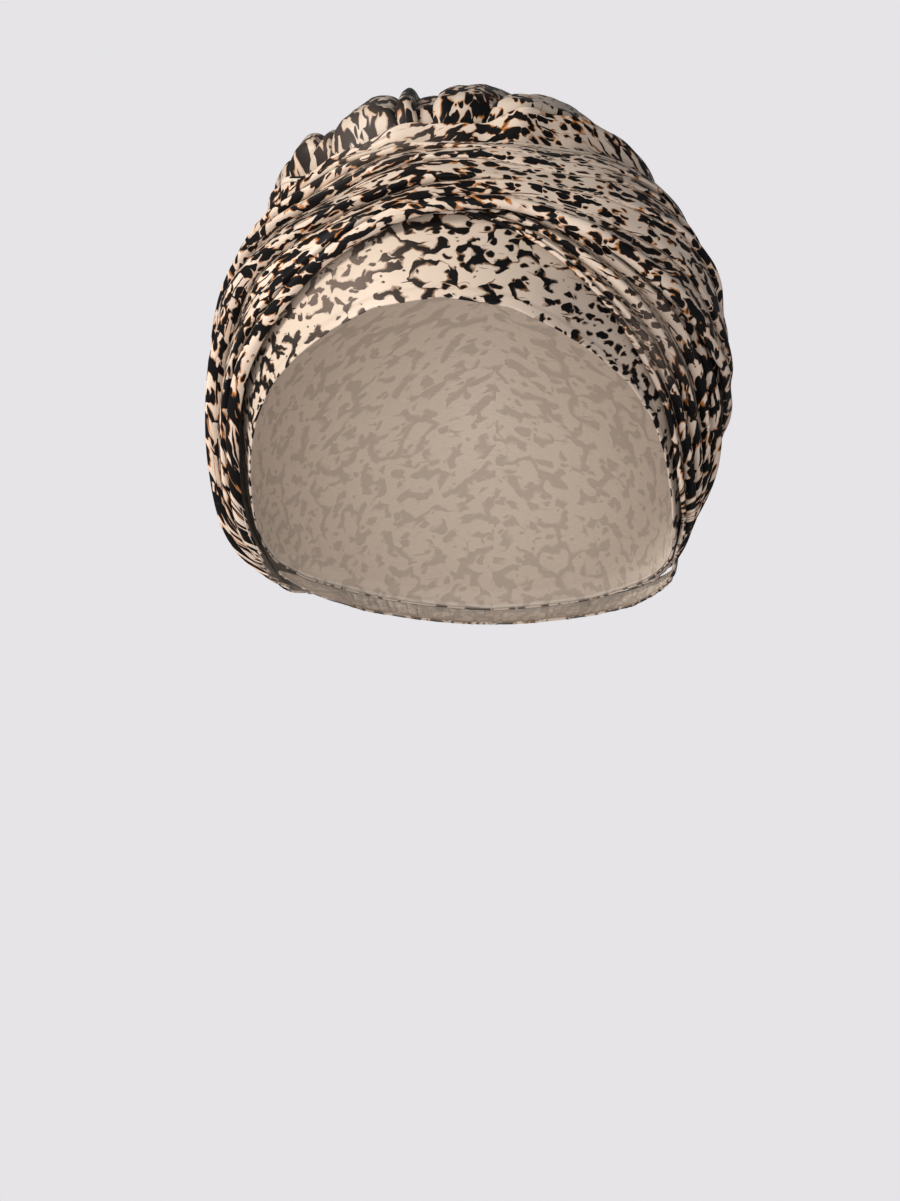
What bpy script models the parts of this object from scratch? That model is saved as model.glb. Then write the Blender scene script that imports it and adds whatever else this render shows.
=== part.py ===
"""Turban headwrap in its worn form: a close cap, a gathered crown and two pleated wraps that cross over the
forehead, drawn together in a narrow band at the nape.

Metres, +Z up, the face towards -Y. The origin is the inside of the crown, where the head bears. Places on
the head are given as a heading (degrees from the face, positive to +X) and a lift (degrees above the widest
level).
"""
import bmesh
import bpy
import numpy as np
from mathutils import Vector
from mathutils.bvhtree import BVHTree

# The head that it is shaped on
HEAD_BREADTH = 0.154
FOREHEAD_DEPTH = 0.095
OCCIPUT_DEPTH = 0.097
CROWN_RISE = 0.093
NAPE_DROP = 0.115

# Cloth thicknesses and the clearance between layers
CAP_WALL = 0.0018
CROWN_WALL = 0.0020
WRAP_WALL = 0.0020
BAND_WALL = 0.0024
LAYER_GAP = 0.0003

# How far each layer stands proud of what it lies on
HEM_RISE = 0.0008
PUFF_RISE = 0.0080
FOLD_RISE = 0.0060
OVER_LOFT = 0.0022
OVER_PLEAT = 0.0040
UNDER_LOFT = 0.0016
UNDER_PLEAT = 0.0026

# Where a pleat's crest lies across its width, numbers of pleats, and of facets along and across each piece
PLEAT_CREST = 0.25
OVER_PLEATS = 6
UNDER_PLEATS = 3
OVER_FACETS = (44, 24)
UNDER_FACETS = (36, 12)
FACETS_IN_FOLD = 4
CROWN_ROWS = 16
BAND_FACETS = (34, 3)
CAP_FACETS = (36, 9)

# The gathers of the crown meet at this lift on the nape, and start this many degrees away from it
GATHER_LIFT = -36.0
GATHER_START = 9.0

# Lower edge of the cap: heading either way from the face, lift
CAP_RIM = (
    (0, 20.5), (15, 18.5), (25, 14.5), (35, 9.5), (45, 3.6), (54, -4.0), (61, -12.0), (67, -19.5),
    (75, -27.5), (86, -33.5), (100, -37.5), (120, -40.0), (150, -41.5), (180, -42.0),
)

# Upper wrap, from the nape behind the left ear over the forehead to the right of the nape:
# front heading, front lift, back heading, back lift, loft share, pleat share
OVER_ROWS = (
    (-81, -35.5, -132, -41, 0.20, 0.20),
    (-75, -27.5, -127, -25, 1.60, 0.70),
    (-69, -17.5, -122, -3, 2.40, 0.95),
    (-63.5, -6.5, -117, 16, 1.80, 1.00),
    (-57.5, 3.0, -108, 32, 1.10, 1.00),
    (-49.5, 11.5, -94, 44, 0.80, 1.00),
    (-41, 19.0, -76, 49, 0.70, 0.95),
    (-31.5, 26.5, -54, 53, 0.60, 0.90),
    (-19.5, 33.0, -35, 57.5, 0.45, 0.75),
    (-7, 37.2, -17, 60.5, 0.35, 0.55),
    (8, 38.5, 1, 61.5, 0.30, 0.35),
    (20, 37.2, 21, 61.5, 0.30, 0.25),
    (31, 33.4, 43, 61, 0.35, 0.25),
    (42, 28.5, 63, 60, 0.45, 0.30),
    (53, 21.5, 81, 57, 0.45, 0.40),
    (65, 14.5, 97, 51, 0.45, 0.50),
    (79, 6.0, 112, 42, 0.50, 0.60),
    (94, -2.5, 126, 29, 0.60, 0.70),
    (112, -13.0, 140, 14, 0.45, 0.80),
    (131, -25.0, 154, -6, 0.25, 0.80),
    (149, -37.5, 168, -30, 0.00, 0.30),
)

# Lower wrap, from the nape behind the right ear over the forehead to the left of the nape, same columns
UNDER_ROWS = (
    (88, -32.5, 138, -40, 0.00, 0.15),
    (79, -27.0, 133, -23, 0.50, 0.60),
    (70, -20.5, 127, -4, 0.90, 0.95),
    (62, -10.5, 119, 16, 1.00, 1.00),
    (57, -2.0, 111, 31, 1.00, 1.00),
    (51.5, 5.0, 100, 43, 0.90, 1.00),
    (46, 11.5, 86, 50, 0.80, 0.90),
    (40.5, 18.0, 68, 55, 0.65, 0.85),
    (34.5, 24.0, 48, 57, 0.50, 0.80),
    (27, 30.0, 28, 58, 0.35, 0.70),
    (17, 35.5, 8, 58, 0.20, 0.45),
    (5, 39.0, -12, 57, 0.10, 0.20),
    (-10, 39.5, -34, 54, 0.10, 0.10),
    (-26, 37.5, -56, 50, 0.10, 0.10),
    (-44, 33.0, -77, 45, 0.15, 0.20),
    (-64, 26.0, -96, 38, 0.15, 0.30),
    (-85, 16.0, -114, 28, 0.15, 0.40),
    (-106, 3.0, -131, 14, 0.15, 0.50),
    (-127, -15.0, -147, -6, 0.15, 0.50),
    (-148, -37.0, -164, -31, 0.00, 0.20),
)

# Front edge of the crown: turn about the nape from the middle, degrees away from the nape
CROWN_EDGE = (
    (-62, 112), (-50, 136), (-40, 154), (-20, 163), (0, 164), (20, 162), (33, 152), (44, 130), (58, 108),
)

# Rolled folds of the crown side by side from the left, starting at this turn about the nape: width in
# degrees, height share, and where along the crown it is highest and how far it runs, in degrees from the nape
CROWN_LEFT = -62.0
CROWN_FOLDS = (
    (11.5, 0.90, 85, 90), (10.0, 1.10, 98, 90), (6.0, 0.95, 108, 80), (6.5, 0.75, 112, 70),
    (11.0, 0.95, 124, 70), (6.2, 1.00, 124, 60), (4.5, 0.25, 124, 70), (19.0, 0.85, 124, 70),
    (17.0, 0.80, 122, 75), (9.0, 0.35, 112, 80), (9.0, 0.40, 98, 90), (10.0, 0.30, 85, 90),
)

# Fullness of the crown under its folds: degrees away from the nape, share of the puff
CROWN_FULLNESS = ((9, 0), (20, 0.5), (35, 1.2), (55, 1.7), (80, 1.7), (105, 1.25), (130, 1.0), (180, 1.0))

# The crown is flat under the wraps for this many degrees from its front edge and from either side edge, and
# then rises to its full height within so many more
FRONT_TUCK, FRONT_CLIMB = 7.0, 17.0
LEFT_TUCK, RIGHT_TUCK, SIDE_CLIMB = 8.0, 14.0, 11.0

# Nape band: heading either way from the face where its ends lie, and its lower and upper lift there and at
# the nape
BAND_END = 87.0
BAND_LIFTS_AT_END = (-36.0, -33.5)
BAND_LIFTS_AT_NAPE = (-46.0, -40.0)

# How a layer feels for what lies under it: samples to a facet, and facets past its own edges
SAMPLES = 4
BEYOND = 1
CENTRE = np.array((0.0, 0.0, -CROWN_RISE))
FAR = 3 * max(HEAD_BREADTH, CROWN_RISE)


def direction(heading, lift):
    """Unit vector from the middle of the head towards a heading and a lift, both in degrees."""
    turn, rise = np.radians(heading), np.radians(lift)
    return np.stack((np.cos(rise) * np.sin(turn), -np.cos(rise) * np.cos(turn), np.sin(rise)), axis=-1)


def head_radius(way):
    """Distance to the head's skin along a unit vector: an ellipsoid with its own depth to the front, the
    back, up and down."""
    depth = np.where(way[..., 1] < 0, FOREHEAD_DEPTH, OCCIPUT_DEPTH)
    height = np.where(way[..., 2] > 0, CROWN_RISE, NAPE_DROP)
    level = (2 * way[..., 0] / HEAD_BREADTH) ** 2 + (way[..., 1] / depth) ** 2
    return 1 / np.sqrt(level + (way[..., 2] / height) ** 2)


def through_rows(table, share):
    """A table's columns at shares of its rows, on a smooth curve through them (Catmull-Rom)."""
    rows = np.array(table, dtype=float)
    place = share * (len(rows) - 1)
    row = np.clip(place.astype(int), 0, len(rows) - 2)
    part = (place - row)[..., None]
    before, start = rows[np.maximum(row - 1, 0)], rows[row]
    end, after = rows[row + 1], rows[np.minimum(row + 2, len(rows) - 1)]
    bend = 2 * before - 5 * start + 4 * end - after + (3 * start - before - 3 * end + after) * part
    return start + 0.5 * part * (end - before + bend * part)


def edge_at(table, turn):
    """A two-column table of an edge read at the given turns."""
    rows = np.array(table, dtype=float)
    return np.interp(turn, rows[:, 0], rows[:, 1])


def ease(value):
    """Smooth step from 0 at 0 to 1 at 1."""
    share = np.clip(value, 0, 1)
    return share * share * (3 - 2 * share)


def wrap_ways(table):
    """Directions over a wrap for shares along and across it: its front and back edges follow the table, and
    straight cloth joins them."""

    def ways(along, across):
        rows = through_rows(table, along)
        front, back = direction(rows[..., 0], rows[..., 1]), direction(rows[..., 2], rows[..., 3])
        way = front * (1 - across[..., None]) + back * across[..., None]
        return way / np.linalg.norm(way, axis=-1, keepdims=True)

    return ways


def wrap_relief(table, loft, pleat, pleats):
    """Height over a wrap: a full belly that is flat at both edges, and knife pleats that run along it, each
    steep on its front side."""

    def relief(along, across):
        rows = through_rows(table, along)
        phase = (across * pleats) % 1
        knife = np.where(phase < PLEAT_CREST, phase / PLEAT_CREST, (1 - phase) / (1 - PLEAT_CREST))
        belly = np.sqrt(np.clip(np.sin(np.pi * across), 0, 1))
        return loft * rows[..., 4] * belly + pleat * rows[..., 5] * knife

    return relief


def fold_bounds():
    """Turns about the nape at which the crown's folds meet."""
    return CROWN_LEFT + np.concatenate(([0], np.cumsum([fold[0] for fold in CROWN_FOLDS])))


def crown_place(along, across):
    """Turn about the nape and degrees away from it, for shares from fold to fold and from the nape to the
    front edge."""
    turn = np.interp(along * len(CROWN_FOLDS), range(len(CROWN_FOLDS) + 1), fold_bounds())
    return turn, GATHER_START + across * (edge_at(CROWN_EDGE, turn) - GATHER_START)


def crown_ways(along, across):
    """Directions over the crown, whose lines fan out from the nape and run over the top to the front."""
    turn, reach = (np.radians(value)[..., None] for value in crown_place(along, across))
    nape, side = direction(180, GATHER_LIFT), np.array((1.0, 0.0, 0.0))
    up = np.cross(side, nape)
    return np.cos(reach) * nape + np.sin(reach) * (np.cos(turn) * up + np.sin(turn) * side)


def crown_relief(along, across):
    """Height over the crown: a puff that is flat at the nape and where the wraps cover it, with rolled folds
    that meet in creases."""
    turn, reach = crown_place(along, across)
    place = np.clip(along * len(CROWN_FOLDS), 0, len(CROWN_FOLDS) - 1e-6)
    rows = np.array(CROWN_FOLDS)[place.astype(int)]
    roll = np.sqrt(np.clip(1 - (2 * (place % 1) - 1) ** 2, 0, 1))
    length = np.clip(1 - ((reach - rows[..., 2]) / rows[..., 3]) ** 2, 0, 1)
    past_tuck = np.minimum(turn - fold_bounds()[0] - LEFT_TUCK, fold_bounds()[-1] - turn - RIGHT_TUCK)
    front = ease((edge_at(CROWN_EDGE, turn) - reach - FRONT_TUCK) / FRONT_CLIMB)
    side = ease(past_tuck / SIDE_CLIMB)
    fullness = edge_at(CROWN_FULLNESS, reach)
    folds = FOLD_RISE * np.minimum(fullness, 1) * rows[..., 1] * roll * length
    return front * side * (PUFF_RISE * fullness + folds)


def band_ways(along, across):
    """Directions over the nape band, from behind one ear round the nape to the other."""
    heading = BAND_END + along * (360 - 2 * BAND_END)
    toward_nape = ease(np.minimum(along, 1 - along) * 2)[..., None]
    lifts = np.array(BAND_LIFTS_AT_END) * (1 - toward_nape) + np.array(BAND_LIFTS_AT_NAPE) * toward_nape
    return direction(heading, lifts[..., 0] * (1 - across) + lifts[..., 1] * across)


def flat_relief(along, across):
    """No height of its own."""
    return np.zeros_like(along)


def trees_of(layers):
    """Search trees of the finished pieces in layers."""
    graph = bpy.context.evaluated_depsgraph_get()
    graph.update()
    return [BVHTree.FromObject(layer, graph) for layer in layers]


def outermost(trees, ways):
    """Distance to the outermost cloth along each direction, or to the head where there is none."""
    radii = head_radius(ways)
    middle = Vector(CENTRE)
    for place in np.ndindex(radii.shape):
        way = Vector(ways[place])
        for tree in trees:
            hit = tree.ray_cast(middle + way * FAR, -way, FAR)[0]
            if hit is not None:
                radii[place] = max(radii[place], (hit - middle).length)
    return radii


def shares(facets, finer=1, beyond=0):
    """Shares along and across a piece at the corners of its facets, and of facets beyond its edges."""
    lines = [
        np.linspace(-beyond / count, 1 + beyond / count, (count + 2 * beyond) * finer + 1) for count in facets
    ]
    return np.meshgrid(*lines, indexing="ij")


def spread(values, reach, combine):
    """Each value combined with its neighbours within reach, first along and then across."""
    for axis in (0, 1):
        pad = [(reach, reach) if axis == other else (0, 0) for other in (0, 1)]
        wide = np.pad(values, pad, mode="edge")
        shifted = [np.take(wide, range(k, k + values.shape[axis]), axis=axis) for k in range(2 * reach + 1)]
        values = combine(np.stack(shifted), axis=0)
    return values


def facet_sag(corners):
    """How far the flats between neighbouring corners on the skin dip under it, at each diagonal's middle."""
    points = corners * head_radius(corners)[..., None]
    dips = []
    for one, other in ((points[:-1, :-1], points[1:, 1:]), (points[1:, :-1], points[:-1, 1:])):
        middle = (one + other) / 2
        length = np.linalg.norm(middle, axis=-1)
        dips.append(head_radius(middle / length[..., None]) - length)
    return np.pad(np.maximum(*dips), ((0, 1), (0, 1)), mode="edge")


def bed_radius(trees, ways, facets):
    """Radius on which a layer can lie at its facets' corners: the skin, and the most that stands on it
    within a facet either way, so that the flat facets between corners clear it too, with dips eased."""
    fine, coarse = ways(*shares(facets, SAMPLES, BEYOND)), ways(*shares(facets))
    felt = outermost(trees, fine) - head_radius(fine)
    cleared = spread(felt, SAMPLES, np.max)[::SAMPLES, ::SAMPLES][BEYOND:-BEYOND, BEYOND:-BEYOND]
    eased = np.maximum(cleared, spread(cleared, 1, np.mean))
    return head_radius(coarse) + eased + spread(facet_sag(coarse), 1, np.max) + LAYER_GAP


def grid_mesh(name, facets):
    """A plane grid of the given facets."""
    mesh = bpy.data.meshes.new(name)
    grid = bmesh.new()
    bmesh.ops.create_grid(grid, x_segments=facets[0], y_segments=facets[1], size=0.5)
    grid.to_mesh(mesh)
    grid.free()
    return mesh


def add_piece(name, mesh, wall, material):
    """A mesh as a cloth piece: its surface is the inner face, and the wall is added outwards."""
    piece = bpy.data.objects.new(name, mesh)
    bpy.data.collections["turban_headwrap"].objects.link(piece)
    mesh.materials.append(material)
    mesh.shade_smooth()
    shell = piece.modifiers.new("wall", "SOLIDIFY")
    shell.thickness = wall
    shell.offset = 1
    return piece


def move_to(mesh, points):
    """Put a mesh's corners at the given points, and its faces outwards."""
    mesh.vertices.foreach_set("co", np.ascontiguousarray(points, dtype=np.float32).ravel())
    mesh.update()
    middle = len(mesh.polygons) // 2
    face = mesh.polygons[middle]
    if Vector(face.normal).dot(face.center - Vector(CENTRE)) < 0:
        mesh.flip_normals()


def draped_piece(name, ways, relief, facets, wall, material, layers):
    """A piece laid over the finished layers, on a grid of directions with its own relief."""
    mesh = grid_mesh(name, facets)
    flat = np.empty(3 * len(mesh.vertices))
    mesh.vertices.foreach_get("co", flat)
    along, across = (flat.reshape(-1, 3)[:, axis] + 0.5 for axis in (0, 1))
    bed = bed_radius(trees_of(layers), ways, facets)
    column, row = np.rint(along * facets[0]).astype(int), np.rint(across * facets[1]).astype(int)
    radius = bed[column, row] + relief(along, across)
    move_to(mesh, CENTRE + ways(along, across) * radius[:, None])
    return add_piece(name, mesh, wall, material)


def cap_mesh():
    """Upper half of a sphere, drawn down all round to the cap's lower edge and fitted to the head, with the
    turned hem standing proud at the edge."""
    ball = bmesh.new()
    bmesh.ops.create_uvsphere(ball, u_segments=CAP_FACETS[0], v_segments=2 * CAP_FACETS[1], radius=1)
    low = [vertex for vertex in ball.verts if vertex.co.z < -0.5 / CAP_FACETS[1]]
    bmesh.ops.delete(ball, geom=low, context="VERTS")
    mesh = bpy.data.meshes.new("under_cap")
    ball.to_mesh(mesh)
    ball.free()
    flat = np.empty(3 * len(mesh.vertices))
    mesh.vertices.foreach_get("co", flat)
    x, y, z = flat.reshape(-1, 3).T
    heading = np.degrees(np.arctan2(x, -y))
    down = np.degrees(np.arccos(np.clip(z, -1, 1))) / 90
    way = direction(heading, 90 - down * (90 - edge_at(CAP_RIM, np.abs(heading))))
    hem = HEM_RISE * (down > 1 - 0.5 / CAP_FACETS[1])
    move_to(mesh, CENTRE + way * (head_radius(way) + hem)[:, None])
    return mesh


def cloth(name, colour, roughness):
    """Plain cloth material."""
    material = bpy.data.materials.new(name)
    material.use_nodes = True
    shader = material.node_tree.nodes["Principled BSDF"]
    shader.inputs["Base Color"].default_value = (*colour, 1)
    shader.inputs["Roughness"].default_value = roughness
    shader.inputs["Metallic"].default_value = 0
    return material


def under_cap():
    """Close cap that shows as the forehead band."""
    return add_piece("under_cap", cap_mesh(), CAP_WALL, cloth("cap_satin", (0.56, 0.44, 0.35), 0.50))


def crown_gathers(layers):
    """Ruched puff over the top and back."""
    facets = (FACETS_IN_FOLD * len(CROWN_FOLDS), CROWN_ROWS)
    material = cloth("crown_satin", (0.46, 0.36, 0.29), 0.50)
    return draped_piece("crown_gathers", crown_ways, crown_relief, facets, CROWN_WALL, material, layers)


def under_wrap(layers):
    """Pleated wrap from the right ear, beneath."""
    relief = wrap_relief(UNDER_ROWS, UNDER_LOFT, UNDER_PLEAT, UNDER_PLEATS)
    material = cloth("under_wrap_satin", (0.42, 0.33, 0.26), 0.48)
    ways = wrap_ways(UNDER_ROWS)
    return draped_piece("under_wrap", ways, relief, UNDER_FACETS, WRAP_WALL, material, layers)


def over_wrap(layers):
    """Pleated wrap from the left ear, on top."""
    relief = wrap_relief(OVER_ROWS, OVER_LOFT, OVER_PLEAT, OVER_PLEATS)
    material = cloth("over_wrap_satin", (0.52, 0.40, 0.31), 0.48)
    ways = wrap_ways(OVER_ROWS)
    return draped_piece("over_wrap", ways, relief, OVER_FACETS, WRAP_WALL, material, layers)


def nape_band(layers):
    """Narrow casing round the nape, over the ends of the wraps."""
    material = cloth("band_satin", (0.34, 0.26, 0.21), 0.55)
    return draped_piece("nape_band", band_ways, flat_relief, BAND_FACETS, BAND_WALL, material, layers)


def main():
    """Clear the scene and lay the layers one over the other."""
    for item in list(bpy.data.objects):
        bpy.data.objects.remove(item, do_unlink=True)
    bpy.context.scene.collection.children.link(bpy.data.collections.new("turban_headwrap"))
    layers = [under_cap()]
    for make in (crown_gathers, under_wrap, over_wrap, nape_band):
        layers.append(make(layers))


main()
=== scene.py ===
"""Turban headwrap in its worn form: printed satin in layers over a head, each layer feeling those beneath.

Metres, +Z up, the face towards -Y. Places on the head are a heading (degrees from the face, positive to +X)
and a lift (degrees above the widest level), seen from the middle of the head.
"""
import logging
from dataclasses import dataclass
from enum import Enum
from typing import Any, Callable, Sequence
import bmesh
import bpy
import numpy as np
from mathutils import Matrix, Vector


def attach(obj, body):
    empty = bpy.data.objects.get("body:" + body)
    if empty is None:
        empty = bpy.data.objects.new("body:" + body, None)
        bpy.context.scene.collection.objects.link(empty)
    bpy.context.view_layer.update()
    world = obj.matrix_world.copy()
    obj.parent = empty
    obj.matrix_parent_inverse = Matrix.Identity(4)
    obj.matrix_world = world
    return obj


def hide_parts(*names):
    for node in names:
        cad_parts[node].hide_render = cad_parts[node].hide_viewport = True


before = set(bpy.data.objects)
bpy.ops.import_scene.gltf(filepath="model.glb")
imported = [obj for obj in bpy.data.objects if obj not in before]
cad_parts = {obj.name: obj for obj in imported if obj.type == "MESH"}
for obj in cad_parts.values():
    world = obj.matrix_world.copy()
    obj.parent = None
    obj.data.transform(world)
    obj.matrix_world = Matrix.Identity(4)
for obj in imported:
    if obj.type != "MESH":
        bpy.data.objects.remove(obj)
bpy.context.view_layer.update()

Array = np.ndarray
Colour = tuple[float, float, float, float]
log = logging.getLogger("headwrap")

MM = 0.001
LAYER_GAP = 0.3 * MM
MEAN_RADIUS = 0.098
TINY = 1e-6


class Mark(Enum):
    """What a finish reads from the cloth, as numbers from 0 to 1 kept on its corners."""

    GATHER = "gather"
    DASH = "dash"
    WASH = "wash"
    REVERSE = "reverse"


class Held(Enum):
    """How a sheet keeps its worn form."""

    STRETCHED = "stretched"
    GATHERED = "gathered"


def direction(heading: Any, lift: Any) -> Array:
    """Unit vectors towards headings and lifts.

    Args:
        heading: degrees from the face, positive to +X.
        lift: degrees above the level.

    Returns:
        (cos lift sin heading, -cos lift cos heading, sin lift), on a last axis of three.
    """
    turn, rise = np.radians(heading), np.radians(lift)
    return np.stack((np.cos(rise) * np.sin(turn), -np.cos(rise) * np.cos(turn), np.sin(rise)), axis=-1)


def ease(value: Any) -> Any:
    """Smooth step 3s^2 - 2s^3 of the value held between 0 and 1."""
    share = np.clip(value, 0, 1)
    return share * share * (3 - 2 * share)


def hill(value: Any, middle: float, reach: float) -> Any:
    """Bell exp(-((value - middle) / reach)^2)."""
    return np.exp(-(((value - middle) / reach) ** 2))


def patches(table: Sequence, first: Array, second: Array) -> Array:
    """Soft patches on the cloth: a sum of products of two bells, held between 0 and 1.

    Args:
        table: rows of amount, middle and reach by the first measure, middle and reach by the second.
        first: one measure of place.
        second: the other.

    Returns:
        The patches at the places.
    """
    bells = (amount * hill(first, a, b) * hill(second, c, d) for amount, a, b, c, d in table)
    return np.clip(sum(bells), 0, 1)


def read_edge(table: Sequence, at: Any) -> Array:
    """Second column of a table read on straight lines at places in its first column."""
    rows = np.array(table, dtype=float)
    return np.interp(at, rows[:, 0], rows[:, 1])


def through_rows(table: Sequence, share: Array) -> Array:
    """A table's columns at shares of its rows, on a Catmull-Rom curve through them.

    Args:
        table: rows of numbers.
        share: 0 at the first row and 1 at the last.

    Returns:
        The columns, on a last axis added to that of share.
    """
    rows = np.array(table, dtype=float)
    place = share * (len(rows) - 1)
    row = np.clip(place.astype(int), 0, len(rows) - 2)
    part = (place - row)[..., None]
    before, start = rows[np.maximum(row - 1, 0)], rows[row]
    end, after = rows[row + 1], rows[np.minimum(row + 2, len(rows) - 1)]
    bend = (2 * before - 5 * start + 4 * end - after) * part
    bend += (3 * start - before - 3 * end + after) * part**2
    return start + 0.5 * part * (end - before + bend)


def between(values: Array, column: Array, row: Array, s: Array, t: Array, wrap: int) -> Array:
    """Numbers on a lattice mixed from the four around each place.

    Args:
        values: the lattice.
        column: lower column of each place.
        row: lower row.
        s: share of the way to the next column.
        t: share of the way to the next row.
        wrap: count after which columns and rows start again.

    Returns:
        The mixed numbers.
    """
    left, right = column % wrap, (column + 1) % wrap
    low, high = row % wrap, (row + 1) % wrap
    under = values[left, low] * (1 - s) + values[right, low] * s
    above = values[left, high] * (1 - s) + values[right, high] * s
    return under * (1 - t) + above * t


@dataclass(frozen=True)
class Grain:
    """Smooth random relief on a square lattice."""

    seed: int
    size: int = 128

    def at(self, x: Any, y: Any) -> Array:
        """Relief at places: the four lattice numbers around each, mixed by smooth steps.

        Args:
            x: places in lattice steps.
            y: places in lattice steps.

        Returns:
            Values from -1 to 1.
        """
        lattice = np.random.default_rng(self.seed).uniform(-1, 1, (self.size, self.size))
        x, y = np.broadcast_arrays(np.asarray(x, dtype=float), np.asarray(y, dtype=float))
        column, row = np.floor(x).astype(int), np.floor(y).astype(int)
        return between(lattice, column, row, ease(x - column), ease(y - row), self.size)

    def crease(self, x: Any, y: Any) -> Array:
        """Sharp ridges from 0 to 1 where the relief crosses zero: (1 - |value|)^3."""
        return (1 - np.abs(self.at(x, y))) ** 3


@dataclass(frozen=True)
class HeadForm:
    """The head under the cloth: an ellipsoid with its own depth to the front and back, and its own height up
    and down."""

    breadth: float = 0.154
    forehead: float = 0.095
    occiput: float = 0.097
    rise: float = 0.093
    drop: float = 0.115

    @property
    def centre(self) -> Array:
        """Middle of the head; the origin is the inside of the crown."""
        return np.array((0.0, 0.0, -self.rise))

    def radius(self, way: Array) -> Array:
        """Distance from the centre to the skin: 1 over the length of way divided by the half-axes.

        Args:
            way: unit vectors.

        Returns:
            The distance along each.
        """
        depth = np.where(way[..., 1] < 0, self.forehead, self.occiput)
        height = np.where(way[..., 2] > 0, self.rise, self.drop)
        half = np.stack((0 * depth + self.breadth / 2, depth, height), axis=-1)
        return 1 / np.linalg.norm(way / half, axis=-1)

    def points(self, way: Array, stand: Array) -> Array:
        """Points that stand off the skin along unit vectors: centre + way (radius + stand)."""
        return self.centre + way * (self.radius(way) + stand)[..., None]


@dataclass
class LiftMap:
    """How far the cloth laid so far stands off the skin, on a raster of directions about a point high on the
    back of the head, where the distance from the raster's middle is the angle away from it."""

    head: HeadForm
    cell: float = 0.5
    reach: float = 132.0
    axis: tuple[float, float] = (180.0, 45.0)

    def __post_init__(self) -> None:
        """Start with bare skin."""
        self.middle = int(self.reach / self.cell)
        self.lift = np.zeros((2 * self.middle + 1, 2 * self.middle + 1))

    def places(self, way: Array) -> tuple[Array, Array]:
        """Raster column and row of directions: angle from the axis, turned about it.

        Args:
            way: unit vectors.

        Returns:
            Columns and rows, with their fractions, kept short of the raster's last cell.
        """
        axis, side = direction(*self.axis), np.array((1.0, 0.0, 0.0))
        up = np.cross(axis, side)
        away = np.degrees(np.arccos(np.clip(way @ axis, -1, 1))) / self.cell
        turn = np.arctan2(way @ up, way @ side)
        limit = 2 * self.middle - 1 - TINY
        column = np.clip(self.middle + away * np.cos(turn), 0, limit)
        row = np.clip(self.middle + away * np.sin(turn), 0, limit)
        return column, row

    def lay(self, outer: Array, finer: int = 3) -> None:
        """Add a finished surface: each cell keeps the greatest lift of the points in and next to it.

        Args:
            outer: grid of points on the outside of the cloth.
            finer: how many points are read along each side of a facet.
        """
        for axis in (0, 1):
            count = outer.shape[axis]
            place = np.linspace(0, count - 1, (count - 1) * finer + 1)
            low = np.minimum(place.astype(int), count - 2)
            part = np.expand_dims(place - low, tuple(other for other in range(3) if other != axis))
            outer = np.take(outer, low, axis) * (1 - part) + np.take(outer, low + 1, axis) * part
        arm = outer.reshape(-1, 3) - self.head.centre
        length = np.linalg.norm(arm, axis=-1)
        way = arm / length[:, None]
        column, row = (np.rint(value).astype(int) for value in self.places(way))
        fresh = np.zeros_like(self.lift)
        np.maximum.at(fresh, (column, row), length - self.head.radius(way))
        self.lift = np.maximum(self.lift, neighbours(fresh, 1, np.max))

    def feel(self, way: Array, reach: int) -> Array:
        """Lift on which new cloth lies: the greatest within reach, then the mean within reach, so that it
        bridges dips and still clears every crest.

        Args:
            way: directions.
            reach: cells either way.

        Returns:
            Lift over the skin at each direction, read between cells on straight lines.
        """
        bed = neighbours(neighbours(self.lift, reach, np.max), reach, np.mean)
        column, row = self.places(way)
        left, low = column.astype(int), row.astype(int)
        return between(bed, left, low, column - left, row - low, len(bed))


def neighbours(values: Array, reach: int, combine: Callable) -> Array:
    """Each value combined with those within reach of it, first along and then across.

    Args:
        values: a raster.
        reach: cells either way.
        combine: what makes one number of many along an axis, such as np.max.

    Returns:
        A raster of the same size.
    """
    for axis in (0, 1):
        pad = [(reach, reach) if axis == other else (0, 0) for other in (0, 1)]
        wide = np.pad(values, pad, mode="edge")
        count = values.shape[axis]
        shifted = [np.take(wide, range(k, k + count), axis) for k in range(2 * reach + 1)]
        values = combine(np.stack(shifted), axis=0)
    return values


def run_length(points: Array, axis: int) -> Array:
    """Length along one axis of a grid of points, from its first row.

    Args:
        points: the grid.
        axis: 0 or 1.

    Returns:
        The sum of the steps up to each point.
    """
    steps = np.linalg.norm(np.diff(points, axis=axis), axis=-1)
    pad = [(1, 0) if axis == other else (0, 0) for other in (0, 1)]
    return np.cumsum(np.pad(steps, pad), axis=axis)


def outward(points: Array, centre: Array, ring: bool = False) -> Array:
    """Unit normals of a grid of points: the cross product of the steps along and across.

    Args:
        points: the grid.
        centre: what the normals on the whole point away from.
        ring: whether the last row lies on the first.

    Returns:
        A unit vector at each point.
    """
    wide = np.concatenate((points[-2:-1], points, points[1:2])) if ring else points
    normal = np.cross(np.gradient(wide, axis=0), np.gradient(wide, axis=1))
    normal = normal[1:-1] if ring else normal
    normal /= np.maximum(np.linalg.norm(normal, axis=-1, keepdims=True), TINY**2)
    return normal * np.sign((normal * (points - centre)).sum())


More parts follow.
